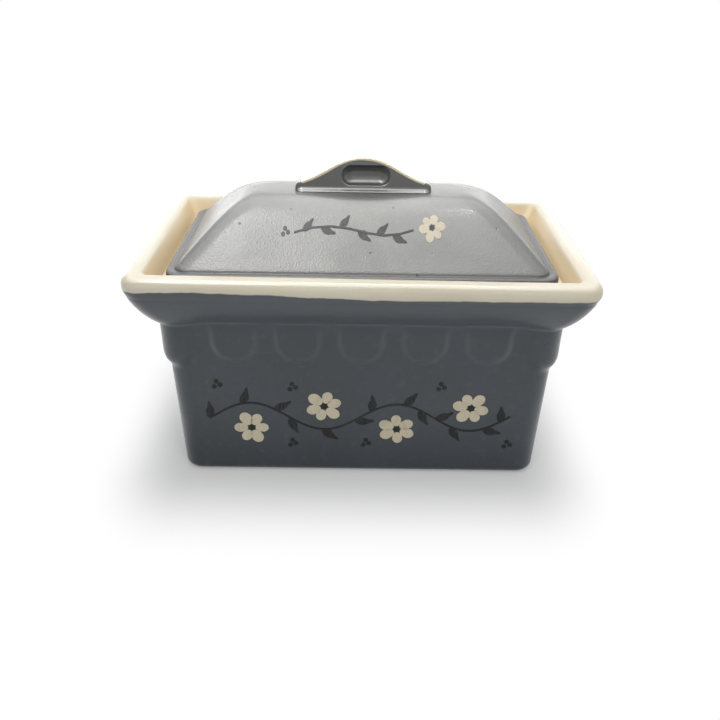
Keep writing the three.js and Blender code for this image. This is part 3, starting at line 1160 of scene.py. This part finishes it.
def vineMarks(s):
    crest, length, height, middle = s["wave"]
    end = s["vineEnd"]

    def phase(u):
        return 2 * pi * (u - crest) / length

    line = linePoints((-end, 0), (end, 0), s["vineSteps"])
    wave = [(u, middle + height * cos(phase(u))) for u, _ in line]
    leaves, side, u = [], 1, -end
    size, more, often = s["leafGrown"]
    while u <= end:
        v = middle + height * cos(phase(u))
        slope = -height * 2 * pi / length * sin(phase(u))
        turn = degrees(atan2(slope, 1)) + side * s["leafTurn"]
        tip = (u + s["leafTip"] * cos(radians(turn)), v + s["leafTip"] * sin(radians(turn)))
        if all(hypot(tip[0] - x, tip[1] - y) > s["flowerRoom"] for x, y in s["flowers"]):
            leaves.append((u, v + s["leafLift"], turn, size + more * sin(u * often)))
        side, u = -side, u + s["leafStep"]
    return wave, leaves


def finishPaint(piece, body, proud):
    applyModifier(piece, "SOLIDIFY", thickness=paintSettings["thick"] * mm, offset=proud)
    finishMesh(piece)
    bpy.ops.object.shade_smooth_by_angle(angle=radians(paintSettings["sharp"]))
    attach(piece, body)
    print(piece.name, "faces", len(piece.data.polygons))


def paintDish(s, wall):
    wave, leaves = vineMarks(s)
    leaf, dot, petal = paintBrushes(s)
    black = [stroke(wave, s["stroke"])] + stamp(leaf, leaves)
    for u, v in s["berries"]:
        black += stamp(dot, berryPlaces(s, u, v))
    shift, size = s["eye"]
    black += stamp(dot, [(u - shift, v, 0, size) for u, v in s["flowers"]])
    cream = []
    for number, (u, v) in enumerate(s["flowers"]):
        cream += stamp(petal, flowerPlaces(s, u, v, s["flowerTurn"] * number))
    for mark in (leaf, dot, petal):
        drop(mark)
    rise = wall["neckHeight"] - wall["baseRound"]
    lean = atan2(wall["wallTop"] - wall["wallFoot"], rise)
    for kind, marks in (("vine", black), ("petals", cream)):
        piece = gather("dish_" + kind, marks, slips[kind])
        piece.rotation_euler = (pi / 2 + lean, 0, 0)
        piece.location = (0, -(rimHalf[1] + wall["wallFoot"]) * mm, wall["baseRound"] * mm)
        bpy.ops.object.transform_apply(location=True, rotation=True, scale=False)
        finishPaint(piece, "dish", s["proud"][kind])


def paintLid(s, shell):
    leaf, dot, petal = paintBrushes(s)
    stem = [s["stem"][0]]
    for last, new in zip(s["stem"], s["stem"][1:]):
        stem += linePoints(last, new, 5)[1:]
    black = [stroke(stem, s["stroke"])]
    for u, turn in s["leafTurns"]:
        v = min(stem, key=lambda point: abs(point[0] - u))[1]
        black += stamp(leaf, [(u, v + s["leafLift"], turn, 1)])
    black += stamp(dot, berryPlaces(s, *s["berry"]))
    (u, v), (shift, size) = s["flower"], s["eye"]
    black += stamp(dot, [(u - shift, v, 0, size)])
    cream = stamp(petal, flowerPlaces(s, u, v, s["flowerTurn"]))
    for mark in (leaf, dot, petal):
        drop(mark)
    for kind, marks in (("vine", black), ("petals", cream)):
        piece = gather("lid_" + kind, marks, slips[kind])
        piece.location = (0, 0, s["above"] * mm)
        bpy.ops.object.transform_apply(location=True, rotation=False, scale=False)
        applyModifier(
            piece, "SHRINKWRAP", target=shell, wrap_method="PROJECT",
            use_project_z=True, use_negative_direction=True, use_positive_direction=False,
        )
        finishPaint(piece, "lid", s["proud"][kind])


paintDish(paintSettings, dishSettings)
paintLid(lidPaintSettings, lid)


# studio

studioSettings = {
    "camera": (-3.155, -384.518, 231.73),
    "yaw": 0.452,
    "pitch": 27.03,
    "roll": 0.970,
    "lens": 42.5,
    "sensor": 36,
    "clip": (0.01, 20),
    "floorSize": 6,
    "floorDrop": 0.02,
    "floorTone": (0.93, 0.93, 0.93, 1),
    "shadowFoot": (77, 47),  # half length and width of what stands on the floor
    "shadowReach": (46, 66),  # how far its shadow is seen along the length and the width
    "shadowLift": 0.2,  # painted light: white mixed into the cast shadow for the camera and in reflections, so it is seen lighter
    "shadowShift": -3,  # the fade to white is centred a little to the left, so the shadow seen reaches further left
    "ambient": 0.36,
    "softboxes": {  # place, size, radiance, tilt
        "overhead": ((0, -0.165, 0.62), (0.18, 0.51), 3.8, 0),
        "overheadLeft": ((-0.15, -0.165, 0.62), (0.12, 0.51), 14.5, 0),
        "overheadRight": ((0.15, -0.165, 0.62), (0.12, 0.51), 4.2, 0),
        "glint": ((0.125, 0.115, 0.605), (0.05, 0.03), 34.0, 0),
        "back": ((0, 0.32, 0.62), (0.18, 0.46), 4.9, 0),
        "backLeft": ((-0.15, 0.32, 0.62), (0.12, 0.46), 3.5, 0),
        "backRight": ((0.15, 0.32, 0.62), (0.12, 0.46), 2.9, 0),
        "far": ((0, 0.67, 0.6), (1.0, 0.24), 2.6, 0),
        "left": ((-0.41, 0.1, 0.62), (0.4, 0.9), 2.6, 0),
        "right": ((0.41, 0.1, 0.62), (0.4, 0.9), 1.9, 0),
        "behind": ((0, 0.82, 0.26), (1.3, 0.32), 1.5, -90),
        "behindLeft": ((-0.6, 0.8, 0.13), (0.6, 0.26), 1.7, -90),
        "front": ((0.1, -1.1, 0.55), (0.9, 0.7), 0.62, 70),
    },
    "lighting": ("overhead", "back", "front"),  # the others are seen only as sheen on the glaze
}


def softbox(name, box, lights):
    place, size, radiance, tilt = box
    light = bpy.data.lights.new(name, "AREA")
    light.shape = "RECTANGLE"
    light.size, light.size_y = size
    light.energy = radiance * pi * light.size * light.size_y
    lamp = bpy.data.objects.new(name, light)
    lamp.location = place
    lamp.rotation_euler = (radians(tilt), 0, 0)
    lamp.visible_camera = False
    lamp.visible_diffuse = lights
    bpy.context.scene.collection.objects.link(lamp)


def floorMaterial(s):
    material, tree = newMaterial("paleFloor")
    foot = (*[value * mm for value in s["shadowFoot"]], 0)
    reach = (*[value * mm for value in s["shadowReach"]], 1)
    outward = tree.vectors("SUBTRACT", tree.objectPlace(), (s["shadowShift"] * mm, 0, 0))
    outward = tree.vectors("SUBTRACT", tree.vectors("ABSOLUTE", outward), foot)
    outward = tree.vectors("DIVIDE", tree.vectors("MAXIMUM", outward), reach)
    away = tree.vectors("LENGTH", outward, out="Value")
    # for camera and glossy rays the floor fades to white away from the object, and white is mixed into its
    # shadow: painted light
    share = tree.maths("MULTIPLY", tree.span(away, 0.0, 1.0, s["shadowLift"], 1.0), tree.seenRays())
    pale = tree.node("ShaderNodeBsdfDiffuse", {"Color": s["floorTone"]})
    white = tree.node("ShaderNodeEmission", {"Color": (1, 1, 1, 1), "Strength": 1.0})
    tree.surface(tree.node("ShaderNodeMixShader", {0: share, 1: pale.outputs[0], 2: white.outputs[0]}))
    return material


def buildSky(s):
    world = bpy.data.worlds.new("studio")
    world.use_nodes = True
    world.node_tree.nodes.clear()
    tree = Tree(world.node_tree)
    level = tree.span(tree.seenRays(), 0, 1, s["ambient"], 1.0, kind="LINEAR")
    sky = tree.node("ShaderNodeBackground", {"Color": (1, 1, 1, 1), "Strength": level})
    tree.node("ShaderNodeOutputWorld", {"Surface": sky.outputs[0]})
    bpy.context.scene.world = world


def buildCamera(s):
    data = bpy.data.cameras.new("camera")
    data.lens, data.sensor_width = s["lens"], s["sensor"]
    data.clip_start, data.clip_end = s["clip"]
    camera = bpy.data.objects.new("camera", data)
    place = Matrix.Translation(Vector(s["camera"]) * mm)
    turn = Matrix.Rotation(radians(-s["yaw"]), 4, "Z") @ Matrix.Rotation(radians(90 - s["pitch"]), 4, "X")
    camera.matrix_world = place @ turn @ Matrix.Rotation(radians(s["roll"]), 4, "Z")
    bpy.context.scene.collection.objects.link(camera)
    bpy.context.scene.camera = camera


def buildStudio(s):
    clearSelection()
    bpy.ops.mesh.primitive_plane_add(size=s["floorSize"], location=(0, 0, -s["floorDrop"] * mm))
    floor = bpy.context.object
    floor.name = "floor"
    floor.data.materials.append(floorMaterial(s))
    for name, box in s["softboxes"].items():
        softbox(name, box, name in s["lighting"])
    buildSky(s)
    bpy.context.scene.view_settings.view_transform = "Standard"
    buildCamera(s)
    print("studio ready")


buildStudio(studioSettings)
